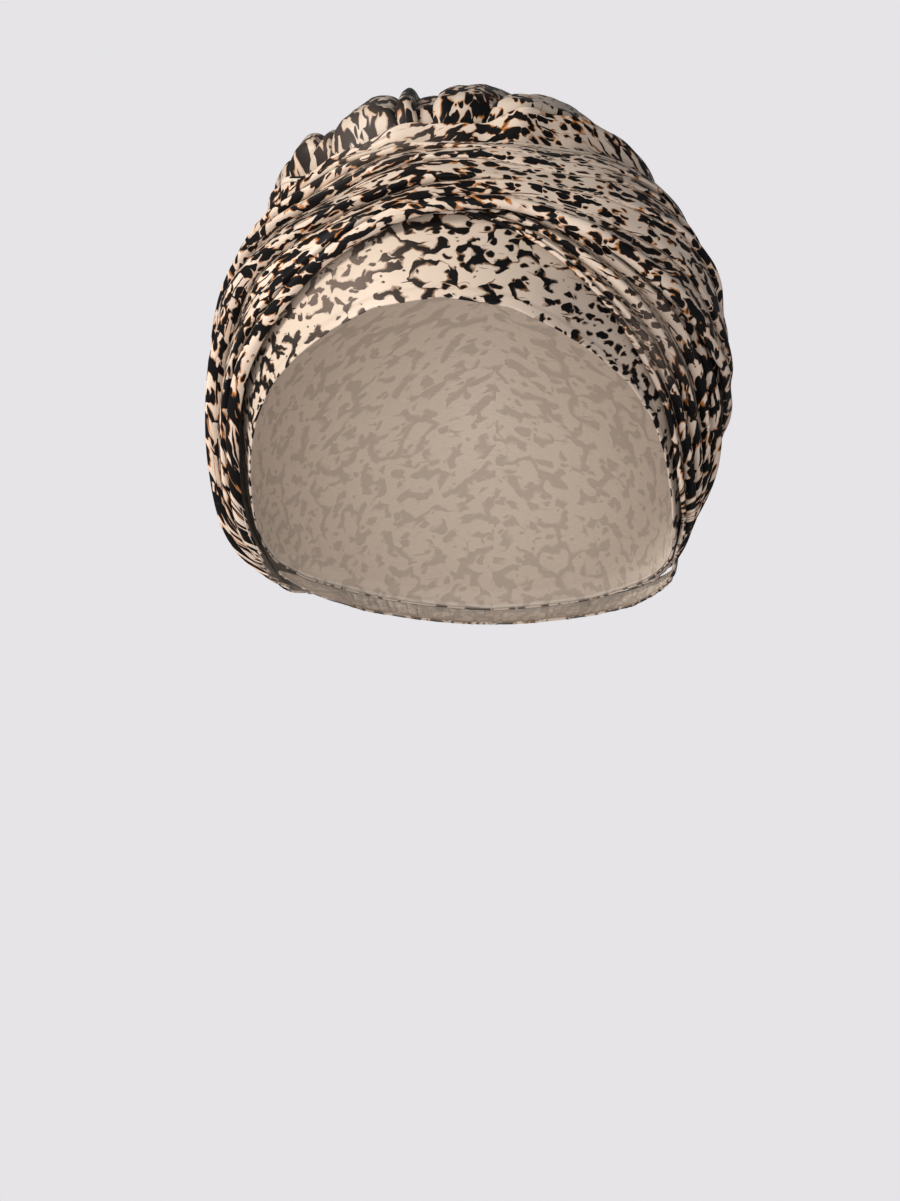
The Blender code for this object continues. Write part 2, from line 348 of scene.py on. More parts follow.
@dataclass
class ClothMesh:
    """Closed cloth: an outer and an inner grid of points joined at their edges, and what a finish reads."""

    outer: Array
    inner: Array
    flat: Array
    marks: dict[Mark, Array]
    ring: bool = False

    def grid_faces(self, start: int, flip: bool) -> Array:
        """Facets of one grid.

        Args:
            start: number of its first corner.
            flip: whether they are taken the other way round.

        Returns:
            Four corner numbers a facet.
        """
        rows, columns = self.outer.shape[:2]
        index = start + np.arange(rows * columns).reshape(rows, columns)
        faces = np.stack((index[:-1, :-1], index[1:, :-1], index[1:, 1:], index[:-1, 1:]), axis=-1)
        faces = faces.reshape(-1, 4)
        return faces[:, ::-1] if flip else faces

    def rim_faces(self, size: int) -> Array:
        """Facets that join the two grids round their edges.

        Args:
            size: corners of one grid.

        Returns:
            Four corner numbers a facet.
        """
        rows, columns = self.outer.shape[:2]
        index = np.arange(rows * columns).reshape(rows, columns)
        lines = [index[:, -1]]
        if not self.ring:
            lines += [index[:, 0][::-1], index[0], index[-1][::-1]]
        pairs = [(line[:-1], line[1:]) for line in lines]
        return np.concatenate([np.stack((a, b, b + size, a + size), axis=-1) for a, b in pairs])

    def faces_out(self) -> bool:
        """Find which way the outer grid's facets point.

        Returns:
            Whether, taken in order, they on the whole point away from the inner grid.
        """
        here = self.outer[:-1, :-1]
        normal = np.cross(self.outer[1:, :-1] - here, self.outer[:-1, 1:] - here)
        return bool((normal * (here - self.inner[:-1, :-1])).sum() > 0)

    def build(self, name: str) -> bpy.types.Object:
        """Make the object.

        Args:
            name: the piece's name.

        Returns:
            The object, linked to the scene, its faces outwards.
        """
        size = self.outer.shape[0] * self.outer.shape[1]
        points = np.concatenate((self.outer.reshape(-1, 3), self.inner.reshape(-1, 3)))
        faces = (self.grid_faces(0, False), self.grid_faces(size, True), self.rim_faces(size))
        corners = np.concatenate(faces)
        corners = corners if self.faces_out() else corners[:, ::-1]
        loops = corners.ravel()
        starts = np.arange(0, len(loops), 4)
        mesh = bpy.data.meshes.new(name)
        mesh.vertices.add(len(points))
        mesh.vertices.foreach_set("co", points.astype(np.float32).ravel())
        mesh.loops.add(len(loops))
        mesh.loops.foreach_set("vertex_index", loops.astype(np.int32))
        mesh.polygons.add(len(starts))
        mesh.polygons.foreach_set("loop_start", starts.astype(np.int32))
        mesh.polygons.foreach_set("use_smooth", np.ones(len(starts), dtype=bool))
        mesh.update(calc_edges=True)
        flat = np.concatenate((self.flat.reshape(-1, 2),) * 2)
        layer = mesh.uv_layers.new(name="cloth")
        layer.data.foreach_set("uv", flat[loops].astype(np.float32).ravel())
        marks = {mark: np.concatenate((value.ravel(),) * 2) for mark, value in self.marks.items()}
        marks[Mark.REVERSE] = np.repeat((0.0, 1.0), size)
        for mark, value in marks.items():
            kept = mesh.attributes.new(mark.value, "FLOAT", "POINT")
            kept.data.foreach_set("value", value.astype(np.float32))
        if self.ring:
            weld(mesh)
        mesh.validate()
        piece = bpy.data.objects.new(name, mesh)
        bpy.context.scene.collection.objects.link(piece)
        return piece


def weld(mesh: bpy.types.Mesh) -> None:
    """Merge the corners that lie on each other at a ring's seam or a pole.

    Args:
        mesh: what is changed.
    """
    work = bmesh.new()
    work.from_mesh(mesh)
    bmesh.ops.remove_doubles(work, verts=work.verts, dist=TINY)
    work.to_mesh(mesh)
    work.free()


SMOOTH = {"interpolation_type": "SMOOTHSTEP", "clamp": True}
WALLS = {"feature": "DISTANCE_TO_EDGE", "voronoi_dimensions": "2D"}
CELLS = {"feature": "F1", "voronoi_dimensions": "2D"}
GREY_NOISE = (0.5, 0.5, 0.5)


class Wire:
    """A shader socket whose operators add Math nodes."""

    def __init__(self, shop: "Shop", socket: bpy.types.NodeSocket) -> None:
        """Keep the socket and the shop that it belongs to."""
        self.shop, self.socket = shop, socket

    def __add__(self, other: Any) -> "Wire":
        """Sum."""
        return self.shop.math("ADD", self, other)

    __radd__ = __add__

    def __sub__(self, other: Any) -> "Wire":
        """Difference."""
        return self.shop.math("SUBTRACT", self, other)

    def __rsub__(self, other: Any) -> "Wire":
        """Difference from a number."""
        return self.shop.math("SUBTRACT", other, self)

    def __mul__(self, other: Any) -> "Wire":
        """Product."""
        return self.shop.math("MULTIPLY", self, other)

    __rmul__ = __mul__

    def most(self, other: Any) -> "Wire":
        """The greater of the two."""
        return self.shop.math("MAXIMUM", self, other)

    def step(self, low: float, high: float) -> "Wire":
        """Smooth step from 0 at low to 1 at high."""
        inputs = {"Value": self, "From Min": low, "From Max": high}
        return self.shop.out("ShaderNodeMapRange", SMOOTH, inputs)


class Shop:
    """Makes the nodes of one tree."""

    def __init__(self, tree: bpy.types.NodeTree) -> None:
        """Start with the tree empty."""
        self.tree = tree
        tree.nodes.clear()

    def node(self, kind: str, settings: dict[str, Any], inputs: dict[Any, Any]) -> bpy.types.Node:
        """One node.

        Args:
            kind: the node's type.
            settings: its own settings, set first.
            inputs: values or wires for its sockets, by name or number.

        Returns:
            The node.
        """
        made = self.tree.nodes.new(kind)
        for key, value in settings.items():
            setattr(made, key, value)
        for key, value in inputs.items():
            if isinstance(value, Wire):
                self.tree.links.new(value.socket, made.inputs[key])
            else:
                made.inputs[key].default_value = value
        return made

    def out(self, kind: str, settings: dict[str, Any], inputs: dict[Any, Any], socket: Any = 0) -> Wire:
        """One node's output."""
        return Wire(self, self.node(kind, settings, inputs).outputs[socket])

    def surface(self, kind: str, shader: Wire) -> None:
        """The tree's output."""
        self.node(kind, {}, {"Surface": shader})

    def math(self, operation: str, *values: Any) -> Wire:
        """A Math node on values or wires."""
        return self.out("ShaderNodeMath", {"operation": operation}, dict(enumerate(values)))

    def vector(self, operation: str, *values: Any) -> Wire:
        """A Vector Math node on vectors."""
        return self.out("ShaderNodeVectorMath", {"operation": operation}, dict(enumerate(values)))

    def attribute(self, mark: Mark) -> Wire:
        """A number kept on the piece."""
        return self.out("ShaderNodeAttribute", {"attribute_name": mark.value}, {}, "Fac")

    def mix(self, share: Any, one: Any, other: Any) -> Wire:
        """Colours mixed by a share."""
        return self.out("ShaderNodeMix", {"data_type": "RGBA"}, {0: share, 6: one, 7: other}, 2)

    def noise(self, place: Wire, scale: float, detail: float, socket: str = "Fac") -> Wire:
        """Noise texture."""
        inputs = {"Vector": place, "Scale": scale, "Detail": detail, "Roughness": 0.5}
        return self.out("ShaderNodeTexNoise", {"noise_dimensions": "3D"}, inputs, socket)

    def scaled(self, place: Wire, length: float, width: float) -> Wire:
        """Place in units of a length along and a width across."""
        return self.vector("MULTIPLY", place, (1 / length, 1 / width, 1.0))

    def grain(self, place: Wire, length: float, width: float, detail: float = 0.0) -> Wire:
        """Noise texture drawn out to a length along and a width across."""
        return self.noise(self.scaled(place, length, width), 1.0, detail)


def tint(red: float, green: float, blue: float) -> Colour:
    """Opaque colour from its linear parts."""
    return (red, green, blue, 1.0)


def new_material(name: str) -> tuple[bpy.types.Material, Shop]:
    """Start a material.

    Args:
        name: its name.

    Returns:
        The empty material and its shop.
    """
    material = bpy.data.materials.new(name)
    material.use_nodes = True
    return material, Shop(material.node_tree)


@dataclass(frozen=True)
class PrintedSatin:
    """Cream satin printed with dark, thinly rimmed marks: broken strokes along the walls of warped cells,
    blots, small dashes in places, and hairlines where the cloth is gathered.

    Lengths and widths are millimetres on the flat cloth. A warp is a noise scale, its detail and how far it
    bends the cloth along and across. The print is a field that is above 0 inside a mark.
    """

    name: str
    cream: Colour = tint(0.69, 0.555, 0.44)
    shade: Colour = tint(0.50, 0.40, 0.31)
    ink: Colour = tint(0.004, 0.0034, 0.0034)
    rust: Colour = tint(0.40, 0.14, 0.025)
    smoke: Colour = tint(0.13, 0.095, 0.075)
    reverse: Colour = tint(0.66, 0.56, 0.46)
    warps: tuple = ((0.10, 2.0, 6.0, 4.5), (0.26, 1.0, 4.0, 3.0), (0.75, 1.0, 0.5, 0.3))
    hair_warps: tuple = ((0.10, 2.0, 3.0, 2.0), (0.75, 1.0, 0.6, 0.3))
    waver: float = 1.0
    mark_length: float = 7.0
    mark_width: float = 3.2
    cover: float = 0.53
    spot: float = 0.42
    dash_length: float = 4.8
    dash_width: float = 2.9
    dash_spot: float = 0.59
    net_length: float = 7.0
    net_width: float = 4.5
    stroke: float = 0.17
    gaps: float = 0.52
    hair_length: float = 15.0
    hair_width: float = 1.15
    hair_cover: float = 0.585
    hair_patch: tuple[float, float, float] = (16.0, 8.0, 0.52)
    rim_edge: tuple[float, float] = (-0.024, -0.009)
    ink_edge: tuple[float, float] = (-0.004, 0.012)
    reverse_edge: tuple[float, float] = (-0.02, 0.03)
    reverse_print: float = 0.26
    # Share by which the ground darkens where the cloth is marked washed: partly greyer show-through cloth,
    # partly painted shade.
    show_through_and_painted_shade: float = 0.35
    seed: float = 0.0
    roughness: float = 0.46
    coat: float = 0.22

    def build(self) -> bpy.types.Material:
        """Make the material: ink is a little rougher than the cream and has no coat.

        Returns:
            The material.
        """
        material, shop = new_material(self.name)
        place = self.place(shop)
        edge = self.print_edge(shop, place)
        ink = edge.step(0.0, 0.03)
        inputs = {
            "Base Color": self.colour(shop, place, edge),
            "Roughness": self.roughness + 0.10 * (shop.noise(place, 0.05, 2.0) - 0.5) + 0.05 * ink,
            "Specular IOR Level": 0.08,
            "Coat Weight": self.coat * (1 - ink),
            "Coat Roughness": 0.38,
            "Sheen Weight": 0.02,
            "Sheen Roughness": 0.45,
            "Sheen Tint": tint(1.0, 0.95, 0.88),
            "Normal": self.weave(shop, place),
        }
        shop.surface("ShaderNodeOutputMaterial", shop.out("ShaderNodeBsdfPrincipled", {}, inputs))
        return material

    def place(self, shop: Shop) -> Wire:
        """Place on the flat cloth in millimetres, along and across, with the print's own offset.

        Args:
            shop: what makes the nodes.

        Returns:
            The place.
        """
        flat = shop.out("ShaderNodeUVMap", {"uv_map": "cloth"}, {})
        offset = (61.0 * self.seed, 43.0 * self.seed, self.seed)
        return shop.vector("MULTIPLY_ADD", flat, (1 / MM, 1 / MM, 0.0), offset)

    def warped(self, shop: Shop, place: Wire, warps: Sequence, waver: float) -> Wire:
        """Place bent by coloured noise less its mean.

        Args:
            shop: what makes the nodes.
            place: place on the cloth, in millimetres.
            warps: rows of noise scale, detail, bend along and bend across.
            waver: share of the bend across.

        Returns:
            The bent place.
        """
        bent = place
        for scale, detail, along, across in warps:
            swing = shop.vector("SUBTRACT", shop.noise(place, scale, detail, "Color"), GREY_NOISE)
            bent = shop.vector("MULTIPLY_ADD", swing, (along, across * waver, 0.0), bent)
        return bent

    def print_edge(self, shop: Shop, place: Wire) -> Wire:
        """Field of the whole print: the greatest of its kinds of mark, with dashes in place of the large ones
        where the cloth is marked so.

        Args:
            shop: what makes the nodes.
            place: place on the cloth, in millimetres.

        Returns:
            The field.
        """
        bent = self.warped(shop, place, self.warps, self.waver)
        blots = shop.grain(bent, self.mark_length, self.mark_width, 0.3) - self.cover
        spots = self.dots(shop, bent, self.mark_length, self.mark_width, self.spot)
        large = blots.most(self.strokes(shop, place, bent)).most(spots)
        small = self.dots(shop, bent, self.dash_length, self.dash_width, self.dash_spot)
        share = shop.attribute(Mark.DASH)
        return (large * (1 - share) + small * share).most(self.hairlines(shop, place))

    def strokes(self, shop: Shop, place: Wire, bent: Wire) -> Wire:
        """Field of the strokes: their width less the distance to the nearest wall of a cell, cut where a
        coarse noise is below the gaps.

        Args:
            shop: what makes the nodes.
            place: place on the cloth, in millimetres.
            bent: the same, warped.

        Returns:
            The field.
        """
        cells = shop.scaled(bent, self.net_length, self.net_width)
        wall = shop.out("ShaderNodeTexVoronoi", WALLS, {"Vector": cells, "Scale": 1.0})
        broken = shop.grain(bent, self.net_length * 0.55, self.net_width * 0.6)
        swell = 0.55 + 0.9 * shop.grain(place, 5.0, 3.0)
        return 0.34 * (self.stroke * swell - wall) - 3.0 * (self.gaps - broken).most(0.0)

    def hairlines(self, shop: Shop, place: Wire) -> Wire:
        """Field of the hairlines: a long narrow noise, weaker outside its patches and on smooth cloth.

        Args:
            shop: what makes the nodes.
            place: place on the cloth, in millimetres.

        Returns:
            The field.
        """
        light = self.warped(shop, place, self.hair_warps, 1.0)
        length, width, cover = self.hair_patch
        hair = shop.grain(light, self.hair_length, self.hair_width, 0.6) - self.hair_cover
        patch = shop.grain(place, length, width) - cover
        return hair - 0.45 * (0.04 - patch).most(0.0) - 0.14 * (1 - shop.attribute(Mark.GATHER))

    def dots(self, shop: Shop, place: Wire, length: float, width: float, size: float) -> Wire:
        """Field of small marks: a random radius in each cell less the distance from its point.

        Args:
            shop: what makes the nodes.
            place: place on the cloth, in millimetres.
            length: length of a cell.
            width: its width.
            size: the greatest radius, in cells.

        Returns:
            The field.
        """
        cells = {"Vector": shop.scaled(place, length, width), "Scale": 1.0}
        cell = shop.node("ShaderNodeTexVoronoi", CELLS, cells)
        random = shop.out("ShaderNodeSeparateColor", {}, {0: Wire(shop, cell.outputs["Color"])})
        return 0.4 * (random * size - Wire(shop, cell.outputs["Distance"]) + 0.04)

    def colour(self, shop: Shop, place: Wire, edge: Wire) -> Wire:
        """Cream that drifts to its shade, with rust at the marks' rims, ink in them, and smoke where the
        print shows through; there the ground darkens too, partly as greyer show-through cloth and partly as
        painted shade.

        Args:
            shop: what makes the nodes.
            place: place on the cloth, in millimetres.
            edge: field of the print.

        Returns:
            The colour.
        """
        wash = shop.attribute(Mark.WASH)
        drift = shop.noise(place, 0.022, 2.0).step(0.35, 0.65)
        thread = shop.grain(place, 3.0, 0.35, 1.0).step(0.3, 0.7)
        ground = shop.mix(drift * 0.55, self.cream, self.shade)
        ground = shop.mix(thread * 0.10, ground, self.shade)
        # Painted shade as well as show-through: the ground darkens where the cloth is marked washed, most on
        # the crown's left puff.
        ground = shop.mix(wash * self.show_through_and_painted_shade, ground, self.shade)
        burnt = 0.30 + 0.70 * shop.noise(place, 0.16, 1.0).step(0.40, 0.58)
        rim = edge.step(*self.rim_edge) * burnt * (1 - 0.7 * wash)
        printed = shop.mix(rim, ground, self.rust)
        printed = shop.mix(edge.step(*self.ink_edge), printed, shop.mix(wash, self.ink, self.smoke))
        back = shop.mix(thread * 0.25, self.reverse, self.shade)
        back = shop.mix(edge.step(*self.reverse_edge) * self.reverse_print, back, self.smoke)
        return shop.mix(shop.attribute(Mark.REVERSE), printed, back)

    def weave(self, shop: Shop, place: Wire) -> Wire:
        """Bump of the threads: fine noise drawn out along and across the cloth.

        Args:
            shop: what makes the nodes.
            place: place on the cloth, in millimetres.

        Returns:
            The normal.
        """
        threads = shop.grain(place, 2.6, 0.32, 1.0) + shop.grain(place, 0.32, 2.6, 1.0)
        inputs = {"Height": threads, "Strength": 0.22, "Distance": 0.12 * MM}
        return shop.out("ShaderNodeBump", {}, inputs, "Normal")


@dataclass(frozen=True)
class SheetCut:
    """How a piece of cloth was cut, and how it is held."""

    width: float
    length: float
    held: Held
    rests_on: tuple[str, ...]


def dress(piece: bpy.types.Object, node: str, finish: PrintedSatin, cut: SheetCut) -> None:
    """Finish a piece, ride it, let it stand for its node and report it.

    Args:
        piece: the new piece.
        node: the CAD node that it replaces.
        finish: its finish, named as the record's material slot.
        cut: how it was cut and is held.
    """
    piece.data.materials.append(finish.build())
    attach(piece, "root")
    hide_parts(node)
    list(cut.rests_on)
    mesh = piece.data
    mesh.calc_loop_triangles()
    areas = np.empty(len(mesh.polygons))
    mesh.polygons.foreach_get("area", areas)
    share = areas.sum() / 2 / (cut.width * cut.length)
    log.info("%s: %d triangles, %.2f of the cut a side", piece.name, len(mesh.loop_triangles), share)


@dataclass
class ForeheadCap:
    """Close cap whose front shows as the smooth forehead band, with a turned hem at its edge.

    The rim gives heading and lift of the edge. Dash and wash are patches by heading and lift.
    """

    rim: tuple = (
        (0, 20.5), (15, 18.5), (25, 14.5), (35, 9.5), (45, 3.6), (54, -4.0), (61, -12.0), (67, -19.5),
        (75, -27.5), (86, -33.5), (100, -37.5), (120, -40.0), (150, -41.5), (180, -42.0),
    )
    rim_radius: float = 0.09
    wall: float = 0.9 * MM
    fold_rise: float = 0.20 * MM
    hem_width: float = 3.4 * MM
    hem_rise: float = 0.55 * MM
    hem_ease: float = 0.5 * MM
    groove_depth: float = 0.25 * MM
    groove_place: float = 0.3 * MM
    groove_width: float = 0.35 * MM
    edge_roll: float = 0.55 * MM
    crowding: float = 0.8
    around: int = 360
    down: int = 110
    dash: tuple = ((0.8, 42, 14, 18, 16),)
    wash: tuple = ((1.3, -27, 15, 25, 11),)

    def build(self, head: HeadForm, worn: LiftMap) -> bpy.types.Object:
        """Make the cap as a polar grid from the crown to its edge.

        Args:
            head: what it is worn on.
            worn: the lift of the layers so far.

        Returns:
            The cap.
        """
        heading = np.linspace(-180, 180, self.around + 1)[:, None] * np.ones((1, self.down + 1))
        share = np.linspace(0.0, 1, self.down + 1)[None, :] ** self.crowding
        low = read_edge(self.rim, np.abs(heading))
        lift = 90 - share * (90 - low)
        outer = head.points(direction(heading, lift), self.stand(heading, share, low))
        lip = self.lip(outer, head)
        outer = np.concatenate((outer, lip), axis=1)
        normal = outward(outer, head.centre, True)
        normal[:, 0] = (0.0, 0.0, 1.0)
        worn.lay(outer)
        around = run_length(outer, 0)
        flat = np.stack((around - around[self.around // 2], run_length(outer, 1)), axis=-1)
        wide, tall = (np.pad(value, ((0, 0), (0, lip.shape[1])), mode="edge") for value in (heading, lift))
        marks = {
            Mark.GATHER: np.zeros_like(wide),
            Mark.DASH: patches(self.dash, wide, tall),
            Mark.WASH: patches(self.wash, wide, tall),
        }
        return ClothMesh(outer, outer - normal * self.wall, flat, marks, True).build("forehead_cap")

    def stand(self, heading: Array, share: Array, low: Array) -> Array:
        """How far the cap stands off the skin: its wall, slight folds, the hem and the groove of its seam.

        Args:
            heading: headings of the places.
            share: share of the way from the crown to the edge.
            low: lift of the edge.

        Returns:
            The distance at each place.
        """
        run = np.radians((1 - share) * (90 - low)) * self.rim_radius
        turn = np.radians(heading)
        fold = Grain(11).at(4 * np.sin(turn) + 9, 4 * np.cos(turn) + share * 5 + 30) * ease(share * 6)
        hem = self.hem_rise * (1 - ease((run - self.hem_width) / self.hem_ease))
        groove = self.groove_depth * hill(run, self.hem_width + self.groove_place, self.groove_width)
        return self.wall + self.fold_rise * fold + hem - groove

    def lip(self, outer: Array, head: HeadForm) -> Array:
        """Rows that turn the hem under: a quarter round inwards from the last row.

        Args:
            outer: grid of points down to the edge.
            head: what the cap is worn on.

        Returns:
            Three more columns of points.
        """
        step = outer[:, -1] - outer[:, -2]
        step /= np.linalg.norm(step, axis=-1, keepdims=True)
        inward = -outward(outer, head.centre, True)[:, -1]
        angles = np.radians((30.0, 60.0, 90.0))[None, :, None]
        roll = np.sin(angles) * step[:, None] + (1 - np.cos(angles)) * inward[:, None]
        return outer[:, -1][:, None] + self.edge_roll * roll


@dataclass
class CrownGathers:
    """Ruched puff over the top and back: rolled folds that fan out from the nape and tuck under the wraps.

    Places are a turn about the nape, from the left to the right, and a reach, degrees away from it. A fold
    gives its width, its share of the height, where along its reach it is highest, how far it carries, how it
    leans near the front, and its tilt.
    """

    front: tuple = (
        (-62, 112), (-50, 136), (-40, 154), (-20, 163), (0, 164), (20, 162), (33, 152), (44, 130), (58, 108),
    )
    left: float = -62.0
    folds: tuple = (
        (11.5, 0.45, 85, 90, 0, 0.00), (10.0, 1.00, 98, 90, 0, 0.10), (6.0, 1.25, 108, 80, 0, 0.05),
        (3.5, 0.60, 112, 70, 0, -0.05), (14.0, 1.20, 124, 70, 1, 0.06), (6.2, 1.05, 124, 60, 2, 0.04),
        (4.5, 0.15, 124, 70, 2, 0.00), (19.5, 0.80, 124, 70, 1, -0.06), (16.5, 0.95, 122, 75, -12, -0.04),
        (9.0, 0.30, 112, 80, 4, -0.05), (9.0, 0.35, 98, 90, 0, 0.05), (10.0, 0.30, 85, 90, 0, 0.00),
    )
    fullness: tuple = (
        (9, 0), (20, 0.5), (35, 1.2), (55, 1.7), (80, 1.7), (105, 1.25), (130, 1.0), (180, 1.0),
    )
    evenness: tuple = ((-62, 0.95), (-35, 1.0), (22, 1.0), (34, 0.9), (46, 0.80), (58, 0.8))
    gather_lift: float = -36.0
    gather_start: float = 9.0
    front_reach: float = 162.0
    puff: float = 11.0 * MM
    fold_rise: float = 5.2 * MM
    pucker_rise: float = 1.1 * MM
    crinkle_depth: float = 1.0 * MM
    small_rise: float = 0.5 * MM
    front_tuck: tuple = ((-62, 15), (-40, 13), (-28, 9), (12, 9), (22, 7), (40, 8), (58, 15))
    tuck_start: tuple = ((-62, 7), (-40, 8), (-28, 11), (12, 12), (22, 12), (40, 11), (58, 7))
    side_tuck: tuple[float, float, float] = (8.0, 9.0, 11.0)
    lean_start: float = 0.72
    straightening: float = 0.81
    wander: float = 1.3
    print_jump: float = 13 * MM
    wall: float = 0.9 * MM
    along: int = 324
    across: int = 140
    # This patch also darkens the ground of the crown's left puff as painted shade, besides greying its marks
    # where the print shows through.
    wash: tuple = ((1.3, -34, 13, 142, 18),)

    def creases(self, across: Array) -> Array:
        """Turns about the nape at which the folds meet. The middle ones run straight from front to back over
        the top, as arcsin(sin turn * straightening / sin reach), each leans to its own side near the front,
        and all wander.

        Args:
            across: shares of the way from the nape to the front.

        Returns:
            The turns, on a last axis added to that of across.
        """
        table = np.array(self.folds)
        edges = self.left + np.concatenate(([0], np.cumsum(table[:, 0])))
        lean = np.concatenate((table[:, 4], [0]))
        number = np.arange(len(edges))
        inside = (number > 0) & (number < len(edges) - 1)
        across = across[..., None]
        wander = self.wander * Grain(21).at(number * 2.7, across * 5) * inside
        reach = np.radians(self.gather_start + across * (self.front_reach - self.gather_start))
        sine = np.sin(np.radians(edges)) * self.straightening / np.maximum(np.sin(reach), 0.6)
        level = np.degrees(np.arcsin(np.clip(sine, -1, 1)))
        straight = (level - edges) * (1 - (edges / self.left) ** 2) * inside
        return edges + straight + lean * ease((across - self.lean_start) / (1 - self.lean_start)) + wander

    def place(self, along: Array, across: Array) -> tuple[Array, Array, Array, Array]:
        """Places on the cloth.

        The turn is (1 - cos pi s)/2 + t sin pi s of the way between two creases, so that a fold stands
        steeply on both and leans over one by its tilt t.

        Args:
            along: shares of the way over all the folds.
            across: shares of the way from the nape to the front.

        Returns:
            Turn about the nape, reach from it, fold number and share of the fold.
        """
        count = len(self.folds)
        spot = np.clip(along * count, 0, count - 1e-9)
        number = spot.astype(int)
        share = spot - number
        creases = self.creases(across)
        left, right = (np.take_along_axis(creases, (number + k)[..., None], -1)[..., 0] for k in (0, 1))
        tilt = np.array(self.folds)[number, 5]
        mixed = (1 - np.cos(np.pi * share)) / 2 + tilt * np.sin(np.pi * share)
        turn = left + (right - left) * mixed
        reach = self.gather_start + across * (read_edge(self.front, turn) - self.gather_start)
        return turn, reach, number, share

    def ways(self, turn: Array, reach: Array) -> Array:
        """Directions: cos reach of the nape and sin reach of a line turned about it.

        Args:
            turn: degrees about the nape.
            reach: degrees away from it.

        Returns:
            Unit vectors.
        """
        turn, reach = (np.radians(value)[..., None] for value in (turn, reach))
        nape, side = direction(180, self.gather_lift), np.array((1.0, 0.0, 0.0))
        up = np.cross(side, nape)
        return np.cos(reach) * nape + np.sin(reach) * (np.cos(turn) * up + np.sin(turn) * side)

    def relief(self, turn: Array, reach: Array, number: Array, share: Array) -> Array:
        """Puff under the folds, each sin pi s high over its share and fading along its length, with puckers
        at the nape and small creases, let down to nothing at the front and the sides.

        Args:
            turn: degrees about the nape.
            reach: degrees away from it.
            number: fold number.
            share: share of the fold.

        Returns:
            Height over the layers beneath.
        """
        rows = np.array(self.folds)[number]
        length = np.clip(1 - ((reach - rows[..., 2]) / rows[..., 3]) ** 2, 0, 1)
        last = self.left + sum(fold[0] for fold in self.folds)
        past = np.minimum(turn - self.left - self.side_tuck[0], last - turn - self.side_tuck[1])
        left_over = read_edge(self.front, turn) - reach - read_edge(self.tuck_start, turn)
        tuck = ease(left_over / read_edge(self.front_tuck, turn)) * ease(past / self.side_tuck[2])
        fullness = read_edge(self.fullness, reach) * read_edge(self.evenness, turn)
        folds = self.fold_rise * np.minimum(fullness, 1) * rows[..., 1] * np.sin(np.pi * share) * length
        pucker = self.pucker_rise * Grain(22).at(turn * 0.55, reach / 45) * (1 - ease((reach - 25) / 70))
        bend = Grain(25).at(turn * 0.12, reach * 0.07)
        crinkle = Grain(23).crease(turn * 0.13 + bend, reach * 0.05 + bend) * ease(reach / 30)
        small = self.small_rise * Grain(24).at(turn * 0.3 + bend, reach * 0.13)
        return tuck * (self.puff * fullness + folds + pucker - self.crinkle_depth * crinkle + small)

    def flat(self, way: Array, outer: Array, number: Array) -> Array:
        """Place on the cut cloth: the head's top laid flat, with the cloth in the folds added across, the
        mean over their front half, and each fold's print moved on.

        Args:
            way: directions.
            outer: points on the outside of the cloth.
            number: fold number.

        Returns:
            Metres along and across.
        """
        level = np.maximum(np.hypot(way[..., 0], way[..., 1]), TINY)
        away = np.arccos(np.clip(way[..., 2], -1, 1)) * MEAN_RADIUS / level
        extra = run_length(outer, 0) - run_length(way * MEAN_RADIUS, 0)
        folded = extra[:, self.across // 2:].mean(1, keepdims=True)
        return np.stack((away * way[..., 1], away * way[..., 0] + folded + self.print_jump * number), axis=-1)

    def build(self, head: HeadForm, worn: LiftMap) -> bpy.types.Object:
        """Make the crown over the layers so far.

        Args:
            head: what it is worn on.
            worn: the lift of the layers so far.

        Returns:
            The crown.
        """
        shares = np.linspace(0, 1, self.along + 1), np.linspace(0, 1, self.across + 1)
        turn, reach, number, share = self.place(*np.meshgrid(*shares, indexing="ij"))
        way = self.ways(turn, reach)
        stand = worn.feel(way, 2) + LAYER_GAP + self.wall + self.relief(turn, reach, number, share)
        outer = head.points(way, stand)
        inner = outer - outward(outer, head.centre) * self.wall
        worn.lay(outer)
        marks = {
            Mark.GATHER: 0.8 * (1 - ease((reach - 15) / 50)),
            Mark.DASH: 0.9 * hill(turn, 24, 12) * ease((reach - 110) / 20),
            Mark.WASH: patches(self.wash, turn, reach),
        }
        return ClothMesh(outer, inner, self.flat(way, outer, number), marks).build("gathered_crown")


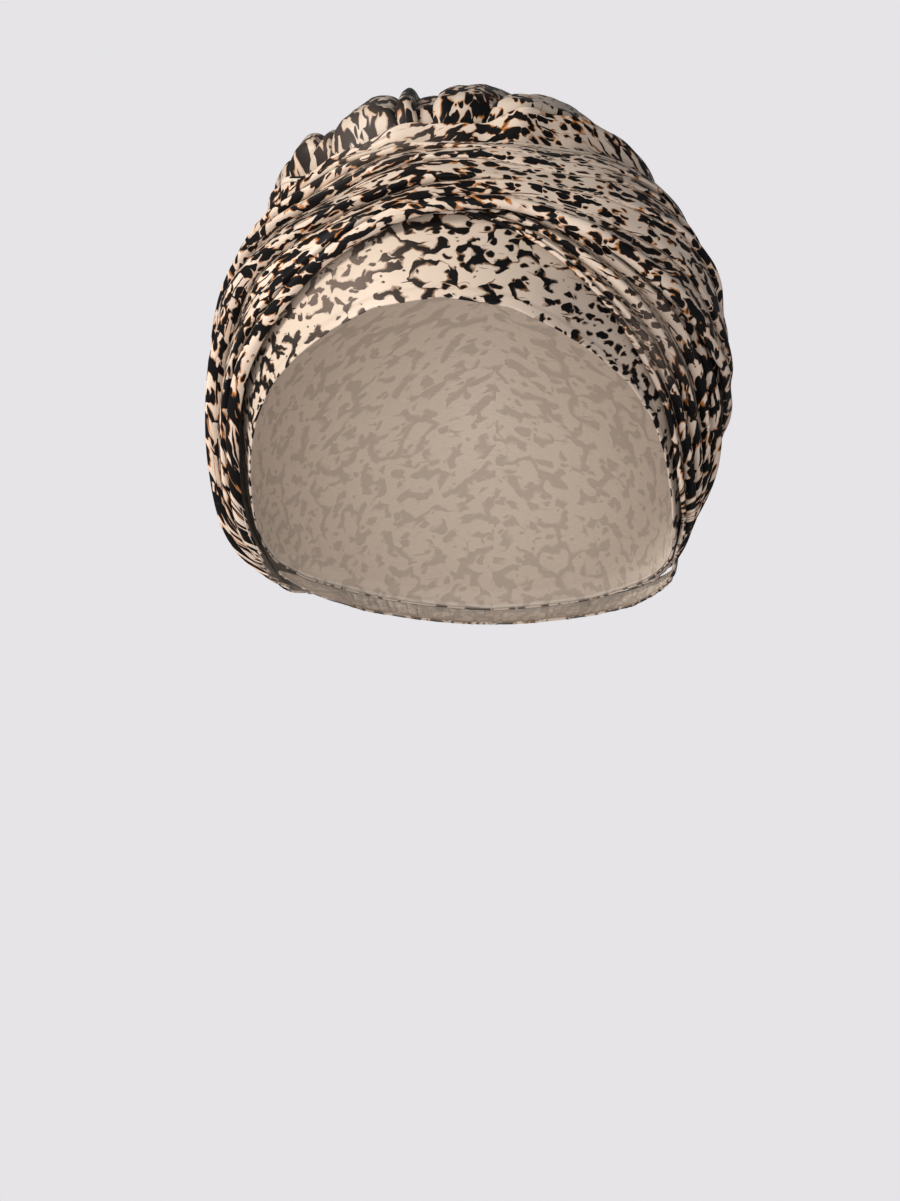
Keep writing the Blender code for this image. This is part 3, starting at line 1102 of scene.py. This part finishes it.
@dataclass
class Wrap:
    """Pleated wrap from nape to nape over the forehead: straight cloth between a front and a back edge, knife
    pleats along it, and both edges rolled under.

    The rows give front heading and lift, back heading and lift, loft share and pleat share. The front roll is
    the radius of the rolled edge along the wrap. Dash and wash are patches by the shares along and across.
    """

    name: str
    rows: tuple
    loft: float
    pleat: float
    pleats: int
    front_roll: tuple
    back_roll: float
    sizes: tuple
    seed: int
    along: int
    body_rows: int
    dash: tuple
    wash: tuple
    gather: tuple
    bunch: float = 1.0
    steepness: float = 0.2
    wall: float = 0.8 * MM
    fold_rows: int = 6
    wander: float = 0.36
    swell: float = 0.4
    crispness: float = 0.45
    roll_height: float = 0.8
    roll_reach: float = 2.3
    roll_rest: float = 0.3
    fall_share: float = 0.85
    fine_rise: float = 0.30 * MM
    crease_rise: float = 0.55 * MM
    slack_rise: float = 0.45 * MM
    print_jump: float = 17 * MM

    def edges(self, along: Array) -> tuple[Array, Array]:
        """Directions of the front and the back edge."""
        rows = through_rows(self.rows, along)
        return direction(rows[..., 0], rows[..., 1]), direction(rows[..., 2], rows[..., 3])

    def ways(self, along: Array, across: Array) -> Array:
        """Directions: those of the two edges mixed by the share across, at unit length.

        Args:
            along: shares of the way along.
            across: shares of the way from the front edge to the back.

        Returns:
            Unit vectors.
        """
        front, back = self.edges(along)
        way = front * (1 - across[..., None]) + back * across[..., None]
        return way / np.linalg.norm(way, axis=-1, keepdims=True)

    def width(self, along: Array) -> Array:
        """Width of the cloth along it, as the angle between its edges at the head's mean radius."""
        front, back = self.edges(along[:, 0])
        return MEAN_RADIUS * np.arccos(np.clip((front * back).sum(-1), -1, 1))[:, None]

    def pleat_edges(self, along: Array) -> Array:
        """Shares across at which the pleats start and the last one ends: the number's share of all the
        pleats, wandering, to the power of bunch, which draws them to the front.

        Args:
            along: shares of the way along, one a row.

        Returns:
            One column a pleat, and the end.
        """
        number = np.arange(self.pleats + 1)[None, :]
        inside = (number > 0) & (number < self.pleats)
        spot = number + self.wander * Grain(self.seed).at(along * 5, number * 3.3) * inside
        return (spot / self.pleats) ** self.bunch

    def radii(self, along: Array) -> Array:
        """Radius of the fold at the start of each pleat: half its height, within a share of its width. The
        first is the rolled edge.

        Args:
            along: shares of the way along, one a row.

        Returns:
            One column a pleat.
        """
        number = np.arange(self.pleats)[None, :]
        swell = 1 + self.swell * Grain(self.seed + 1).at(along * 8, number * 3.7)
        share = through_rows(self.rows, along[:, 0])[:, 5:6]
        folds = 0.5 * self.pleat * share * np.array(self.sizes)[None, :] * swell
        room = self.steepness * self.width(along) * np.diff(self.pleat_edges(along), axis=1)
        return np.where(number == 0, read_edge(self.front_roll, along), np.minimum(folds, room))

    def section(self, along: Array) -> tuple[Array, Array, Array]:
        """Section across the wrap.

        Each pleat starts with a half ellipse that overhangs the one before it, place c - q r cos a and height
        r(1 + sin a), and then falls as 2r(1 - s^1.2) until it runs under the next. At the rolled front edge q
        is 1 and the fall soon drops to a rest, and at the creased folds q is less. The back edge is rolled
        under too.

        Args:
            along: shares of the way along, one a row.

        Returns:
            Shares across the cloth, the heights there and the pleat numbers.
        """
        width, radius = self.width(along)[:, :, None], self.radii(along)[:, :, None]
        far = self.back_roll / width
        number = np.arange(self.pleats)[None, :, None]
        first = number == 0
        depth = radius / width * np.where(first, 1.0, self.crispness)
        start = self.pleat_edges(along)[:, :-1, None] + depth
        stop = np.concatenate((start[:, 1:], 1 - far), axis=1)
        angle = np.radians(np.linspace(-90, 90, self.fold_rows + 1))[:-1]
        share = np.linspace(0, 1, self.body_rows + 1)[:-1]
        body = start + share * (stop - start)
        near = 1 - ease((body - start) * width / radius / self.roll_reach)
        tube = np.where(first, self.roll_rest + (1 - self.roll_rest) * near, 1.0)
        fall = 2 * radius * tube * (1 - np.minimum(share / self.fall_share, 1) ** 1.2)
        rise = np.where(number == self.pleats - 1, 2 * self.back_roll * share**2, 0.0)
        squash = np.where(first, self.roll_height, 1.0)
        place = np.concatenate((start - depth * np.cos(angle), body), axis=2)
        height = np.concatenate((squash * radius * (1 + np.sin(angle)), squash * fall + rise), axis=2)
        number = number + 0 * place
        far = far[:, 0]
        back = np.radians(np.linspace(90, -90, self.fold_rows + 1))[None, :] + 0 * far
        tail = (1 - far + far * np.cos(back), self.back_roll * (1 + np.sin(back)), self.pleats - 1 + 0 * back)
        parts = zip((place, height, number), tail)
        return tuple(np.concatenate((part.reshape(len(along), -1), end), axis=1) for part, end in parts)

    def ease_of_cloth(self, along: Array, across: Array) -> Array:
        """Loft over the layers beneath, fine folds along the cloth, small creases and slack.

        Args:
            along: shares of the way along.
            across: shares of the way across.

        Returns:
            The added height.
        """
        rows = through_rows(self.rows, along)
        belly = np.sqrt(np.clip(np.sin(np.pi * np.clip(across, 0, 1)), 0, 1))
        edge = ease(across * 14) * ease((1 - across) * 14)
        bend = 0.5 * Grain(self.seed + 4).at(along * 9, across * 3)
        fine = self.fine_rise * Grain(self.seed + 2).at(along * 13, across * self.pleats * 4.5 + bend)
        crease = self.crease_rise * Grain(self.seed + 5).crease(along * 6, across * self.pleats * 1.7 + bend)
        slack = self.slack_rise * Grain(self.seed + 3).at(along * 12, across * 4)
        return self.loft * rows[..., 4] * belly + edge * ((fine + crease) * rows[..., 5] + slack)

    def build(self, head: HeadForm, worn: LiftMap) -> bpy.types.Object:
        """Lay the wrap over the layers so far.

        Args:
            head: what it is worn on.
            worn: the lift of the layers so far.

        Returns:
            The wrap.
        """
        along = np.linspace(0, 1, self.along + 1)[:, None]
        across, height, number = self.section(along)
        along = along * np.ones_like(across)
        way = self.ways(along, across)
        stand = worn.feel(way, 3) + LAYER_GAP + self.wall + height + self.ease_of_cloth(along, across)
        outer = head.points(way, stand)
        inner = outer - outward(outer, head.centre) * self.wall
        worn.lay(outer)
        run, width = run_length(outer, 0), run_length(outer, 1)
        lengthwise = run - run[self.along // 2]
        flat = np.stack((lengthwise, width - width[:, -1:] / 2 + self.print_jump * number), axis=-1)
        marks = {
            Mark.GATHER: read_edge(self.gather, along),
            Mark.DASH: patches(self.dash, along, across),
            Mark.WASH: patches(self.wash, along, across),
        }
        return ClothMesh(outer, inner, flat, marks).build(self.name)


OVER_WRAP = Wrap(
    name="pleated_over_wrap",
    rows=(
        (-81, -35.5, -132, -41, 1.20, 0.20), (-75, -27.5, -127, -25, 3.80, 0.60),
        (-69, -17.5, -122, -3, 3.10, 0.90), (-63.5, -6.5, -117, 16, 2.60, 1.00),
        (-57.5, 3.0, -108, 32, 2.20, 1.00), (-49.5, 11.5, -94, 44, 1.80, 1.00),
        (-41, 19.0, -76, 50, 1.60, 0.95), (-31.5, 26.5, -54, 55, 1.30, 0.90),
        (-19.5, 33.0, -35, 60.5, 1.00, 0.80), (-7, 37.2, -17, 64.5, 0.70, 0.65),
        (8, 38.5, 1, 65.5, 0.60, 0.30), (20, 37.2, 21, 65.5, 0.80, 0.12),
        (31, 33.4, 43, 64, 1.60, 0.08), (42, 28.5, 63, 62, 3.20, 0.12),
        (53, 21.5, 81, 58, 4.20, 0.28), (65, 14.5, 97, 51, 2.60, 0.45),
        (79, 6.0, 112, 42, 0.50, 0.60), (94, -2.5, 126, 29, 0.60, 0.70),
        (112, -13.0, 140, 14, 1.00, 0.80), (131, -25.0, 154, -6, 0.60, 0.80),
        (149, -37.5, 168, -30, 0.00, 0.30),
    ),
    loft=2.2 * MM,
    pleat=5.0 * MM,
    pleats=6,
    front_roll=(
        (0, 1.2 * MM), (0.15, 2.9 * MM), (0.42, 3.2 * MM), (0.6, 2.8 * MM), (0.75, 2.3 * MM), (1, 1.0 * MM),
    ),
    back_roll=0.8 * MM,
    sizes=(1.1, 0.7, 1.15, 0.75, 1.0, 0.7),
    seed=40,
    along=440,
    body_rows=10,
    dash=((1.0, 0.585, 0.085, 0.45, 0.6),),
    wash=((0.8, 0.42, 0.05, 0.85, 0.2),),
    gather=((0, 1), (0.15, 0.85), (0.35, 0.6), (0.48, 0.25), (0.6, 0.0), (0.72, 0.15), (0.85, 0.6), (1, 1)),
)

UNDER_WRAP = Wrap(
    name="pleated_under_wrap",
    rows=(
        (88, -32.5, 138, -40, 0.00, 0.15), (79, -27.0, 133, -23, 0.50, 0.60),
        (70, -20.5, 127, -4, 1.60, 0.95), (62, -10.5, 119, 16, 2.00, 1.00),
        (57, -2.0, 111, 31, 2.00, 1.00), (51.5, 5.0, 100, 43, 1.90, 1.00),
        (46, 11.5, 86, 50, 1.80, 0.90), (40.5, 18.0, 68, 55, 1.40, 0.85),
        (34.5, 24.0, 48, 57, 1.00, 0.80), (27, 30.0, 28, 58, 0.35, 0.70),
        (17, 35.5, 8, 58, 0.20, 0.45), (5, 39.0, -12, 57, 0.10, 0.20),
        (-10, 39.5, -34, 54, 0.10, 0.10), (-26, 37.5, -56, 50, 0.10, 0.10),
        (-44, 33.0, -77, 45, 0.15, 0.20), (-64, 26.0, -96, 38, 0.15, 0.30),
        (-85, 16.0, -114, 28, 0.15, 0.40), (-106, 3.0, -131, 14, 0.15, 0.50),
        (-127, -15.0, -147, -6, 0.15, 0.50), (-148, -37.0, -164, -31, 0.00, 0.20),
    ),
    loft=1.6 * MM,
    pleat=4.6 * MM,
    pleats=8,
    bunch=1.5,
    steepness=0.26,
    crispness=0.7,
    front_roll=((0, 1.0 * MM), (0.15, 1.4 * MM), (0.45, 1.2 * MM), (0.6, 0.8 * MM), (1, 0.8 * MM)),
    back_roll=0.7 * MM,
    sizes=(0.9, 1.1, 1.0, 1.1, 0.9, 1.0, 0.8, 0.8),
    seed=60,
    along=400,
    body_rows=7,
    dash=((0.8, 0.36, 0.12, 0.4, 0.6),),
    wash=((0.7, 0.30, 0.05, 0.1, 0.2),),
    gather=((0, 1), (0.12, 0.9), (0.3, 0.7), (0.48, 0.4), (0.7, 0.3), (1, 1)),
)


@dataclass
class NapeBand:
    """Narrow casing round the nape, drawn up into small gathers: its right end lies on the cap's edge beside
    the under wrap, and its left end is tucked between the cap and the over wrap.

    Lifts are those of its lower and upper edge. Shares along it are measured from the right end.
    """

    ends: tuple[float, float] = (91.0, 257.0)
    right_lifts: tuple[float, float] = (-34.5, -33.8)
    left_lifts: tuple[float, float] = (-39.8, -39.2)
    nape_lifts: tuple[float, float] = (-45.0, -39.6)
    right_taper: float = 0.16
    tucked: float = 0.17
    tuck_ease: float = 0.06
    laid: float = 0.02
    laid_ease: float = 0.10
    cap_lift: float = 1.7 * MM
    wall: float = 0.9 * MM
    loft: float = 1.5 * MM
    gather_rise: float = 0.35 * MM
    gather: float = 0.9
    along: int = 700
    across: int = 26

    def ways(self, along: Array, across: Array) -> Array:
        """Directions: lifts mixed from the ends to the nape by 1 - (1 - t)^3, which leaves the ends steeply.

        Args:
            along: shares of the way along.
            across: shares of the way from the lower edge to the upper.

        Returns:
            Unit vectors.
        """
        heading = self.ends[0] + along * (self.ends[1] - self.ends[0])
        toward = 1 - (1 - np.minimum(along, 1 - along) * 2)[..., None] ** 3
        ends = np.where(along[..., None] < 0.5, self.right_lifts, self.left_lifts)
        lifts = ends * (1 - toward) + np.array(self.nape_lifts) * toward
        return direction(heading, lifts[..., 0] * (1 - across) + lifts[..., 1] * across)

    def build(self, head: HeadForm, worn: LiftMap) -> bpy.types.Object:
        """Make the band over the ends of the wraps: half an ellipse across, cos a high at the share
        (1 + sin a)/2.

        Args:
            head: what it is worn on.
            worn: the lift of the layers so far.

        Returns:
            The band.
        """
        along = np.linspace(0, 1, self.along + 1)[:, None]
        angle = np.radians(np.linspace(-90, 90, self.across + 1))[None, :]
        across = 0.5 + 0.5 * np.sin(angle) + 0 * along
        along = along + 0 * across
        way = self.ways(along, across)
        free = ease((1 - along - self.tucked) / self.tuck_ease) * ease((along - self.laid) / self.laid_ease)
        taper = ease(along / self.right_taper) * free
        bed = worn.feel(way, 2) * (1 - taper) + worn.feel(way, 8) * taper
        bed = self.cap_lift * (1 - free) + bed * free
        ruche = Grain(81).at(along * 150, across * 2.2) + 0.5 * Grain(82).at(along * 320, across * 4)
        belly = np.cos(angle) * taper * (self.loft + self.gather_rise * ruche)
        outer = head.points(way, bed + LAYER_GAP + self.wall + belly)
        inner = outer - outward(outer, head.centre) * self.wall
        worn.lay(outer)
        flat = np.stack((run_length(outer, 0), run_length(outer, 1)), axis=-1)
        none = np.zeros_like(along)
        marks = {Mark.GATHER: none + self.gather, Mark.DASH: none, Mark.WASH: none}
        return ClothMesh(outer, inner, flat, marks).build("gathered_nape_band")


def aimed(place: Vector, look: Vector) -> Matrix:
    """Where a camera or lamp at a place stands when it looks along a line."""
    return Matrix.Translation(place) @ look.to_track_quat("-Z", "Y").to_matrix().to_4x4()


@dataclass(frozen=True)
class SoftLight:
    """Square soft light aimed at a point."""

    name: str
    place: tuple[float, float, float]
    size: float
    power: float
    colour: tuple[float, float, float]
    target: tuple[float, float, float] = (0.0, 0.0, -0.09)

    def build(self) -> None:
        """Make the light."""
        data = bpy.data.lights.new(self.name, "AREA")
        data.size, data.energy, data.color = self.size, self.power, self.colour
        lamp = bpy.data.objects.new(self.name, data)
        lamp.matrix_world = aimed(Vector(self.place), Vector(self.target) - Vector(self.place))
        bpy.context.scene.collection.objects.link(lamp)


@dataclass
class Studio:
    """Pale floor and backdrop tone, soft lights from the upper left, and a level camera."""

    azimuth: float = 6.0
    aim: tuple[float, float] = (-0.0064, -0.1604)
    distance: float = 2.2
    frame_height: float = 0.414
    sensor: float = 36.0
    floor_drop: float = 0.60
    floor_radius: float = 2.0
    floor_sides: int = 96
    tone: Colour = tint(0.79, 0.775, 0.80)
    grey: Colour = tint(0.70, 0.69, 0.71)
    felt: Colour = tint(0.80, 0.83, 0.90)
    felt_strength: float = 0.27
    lights: tuple[SoftLight, ...] = (
        SoftLight("key", (-1.9, -1.35, 0.80), 0.8, 69.0, (1.0, 0.98, 0.955)),
        SoftLight("fill", (0.2, -2.1, -0.25), 1.2, 24.0, (0.98, 0.985, 1.0)),
    )

    def build(self) -> None:
        """Make all of it."""
        self.camera()
        self.floor()
        self.world()
        for light in self.lights:
            light.build()

    def camera(self) -> None:
        """Level camera turned by the azimuth, its long side holding the frame's height."""
        turn = np.radians(self.azimuth)
        right, look = Vector((np.cos(turn), np.sin(turn), 0)), Vector((-np.sin(turn), np.cos(turn), 0))
        target = right * self.aim[0] + Vector((0, 0, self.aim[1]))
        data = bpy.data.cameras.new("camera")
        data.sensor_width = self.sensor
        data.sensor_height = self.sensor
        data.sensor_fit = "AUTO"
        data.lens = self.sensor * self.distance / self.frame_height
        camera = bpy.data.objects.new("camera", data)
        camera.matrix_world = aimed(target - look * self.distance, look)
        bpy.context.scene.collection.objects.link(camera)
        bpy.context.scene.camera = camera

    def floor(self) -> None:
        """Round pale floor of one facet: its radius times (cos a, sin a), dropped below the head."""
        turn = np.arange(self.floor_sides) * 2 * np.pi / self.floor_sides
        rim = np.stack((np.cos(turn), np.sin(turn), 0 * turn), axis=-1) * self.floor_radius
        points = rim - np.array((0, 0, self.floor_drop))
        mesh = bpy.data.meshes.new("floor")
        mesh.from_pydata(points.tolist(), [], [list(range(self.floor_sides))])
        floor = bpy.data.objects.new("floor", mesh)
        bpy.context.scene.collection.objects.link(floor)
        material, shop = new_material("floor_paint")
        place = shop.out("ShaderNodeTexCoord", {}, {}, "Object")
        colour = shop.mix(shop.noise(place, 3.0, 2.0).step(0.3, 0.7) * 0.04, self.tone, self.grey)
        inputs = {"Base Color": colour, "Roughness": 0.8}
        shop.surface("ShaderNodeOutputMaterial", shop.out("ShaderNodeBsdfPrincipled", {}, inputs))
        mesh.materials.append(material)

    def world(self) -> None:
        """Backdrop tone where the camera sees it, and a softer light of the same tone on the cloth."""
        world = bpy.data.worlds.new("studio")
        bpy.context.scene.world = world
        world.use_nodes = True
        shop = Shop(world.node_tree)
        camera_ray = shop.out("ShaderNodeLightPath", {}, {}, "Is Camera Ray")
        seen = shop.out("ShaderNodeBackground", {}, {"Color": self.tone})
        felt = shop.out("ShaderNodeBackground", {}, {"Color": self.felt, "Strength": self.felt_strength})
        both = shop.out("ShaderNodeMixShader", {}, {0: camera_ray, 1: felt, 2: seen})
        shop.surface("ShaderNodeOutputWorld", both)


CAP_PRINT = PrintedSatin(
    "cap_satin", cream=tint(0.60, 0.48, 0.38), rust=tint(0.17, 0.085, 0.04), mark_length=6.5, mark_width=4.8,
    cover=0.69, net_length=11.0, net_width=9.0, stroke=0.16, gaps=0.495, spot=0.22, show_through_and_painted_shade=0.2, seed=9.0,
)
# The crown's cream is darker than the wraps' as painted shade over the top of the head, and its washed left
# puff darkens strongly, also as painted shade.
CROWN_PRINT = PrintedSatin(
    "crown_satin", cream=tint(0.52, 0.42, 0.33), smoke=tint(0.05, 0.037, 0.030), mark_length=6.0,
    mark_width=4.4, cover=0.61, net_length=9.0, net_width=6.6, stroke=0.18, gaps=0.455, spot=0.42,
    show_through_and_painted_shade=0.8, seed=11.0,
)
UNDER_PRINT = PrintedSatin(
    "under_wrap_satin", mark_length=8.0, mark_width=3.4, cover=0.595, net_length=10.0, net_width=5.8,
    stroke=0.19, gaps=0.455, spot=0.44, waver=0.8, seed=23.0,
)
OVER_PRINT = PrintedSatin(
    "over_wrap_satin", mark_length=9.0, mark_width=3.5, cover=0.61, net_length=10.5, net_width=5.4,
    stroke=0.165, gaps=0.50, spot=0.46, waver=0.7, seed=37.0,
)
BAND_PRINT = PrintedSatin(
    "band_satin", mark_length=6.0, mark_width=2.6, cover=0.58, net_length=7.0, net_width=3.5, seed=41.0,
)

CAP_CUT = SheetCut(0.27, 0.27, Held.STRETCHED, ())
CROWN_CUT = SheetCut(0.24, 0.23, Held.GATHERED, ("under_cap",))
UNDER_CUT = SheetCut(0.07, 0.44, Held.GATHERED, ("under_cap", "crown_gathers"))
OVER_CUT = SheetCut(0.09, 0.46, Held.GATHERED, ("under_wrap", "crown_gathers"))
BAND_CUT = SheetCut(0.010, 0.24, Held.GATHERED, ("under_wrap", "over_wrap"))


def main() -> None:
    """Build the pieces from the head outwards, then the studio, and note the sizes."""
    logging.basicConfig(level=logging.INFO, format="%(message)s")
    log.info("%d CAD nodes to dress", len(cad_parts))
    bpy.context.scene.view_settings.view_transform = "Standard"
    head = HeadForm()
    worn = LiftMap(head)
    layers = (
        (ForeheadCap(), "under_cap", CAP_PRINT, CAP_CUT),
        (CrownGathers(), "crown_gathers", CROWN_PRINT, CROWN_CUT),
        (UNDER_WRAP, "under_wrap", UNDER_PRINT, UNDER_CUT),
        (OVER_WRAP, "over_wrap", OVER_PRINT, OVER_CUT),
        (NapeBand(), "nape_band", BAND_PRINT, BAND_CUT),
    )
    for layer, node, finish, cut in layers:
        dress(layer.build(head, worn), node, finish, cut)
    Studio().build()


if __name__ == "__main__":
    main()
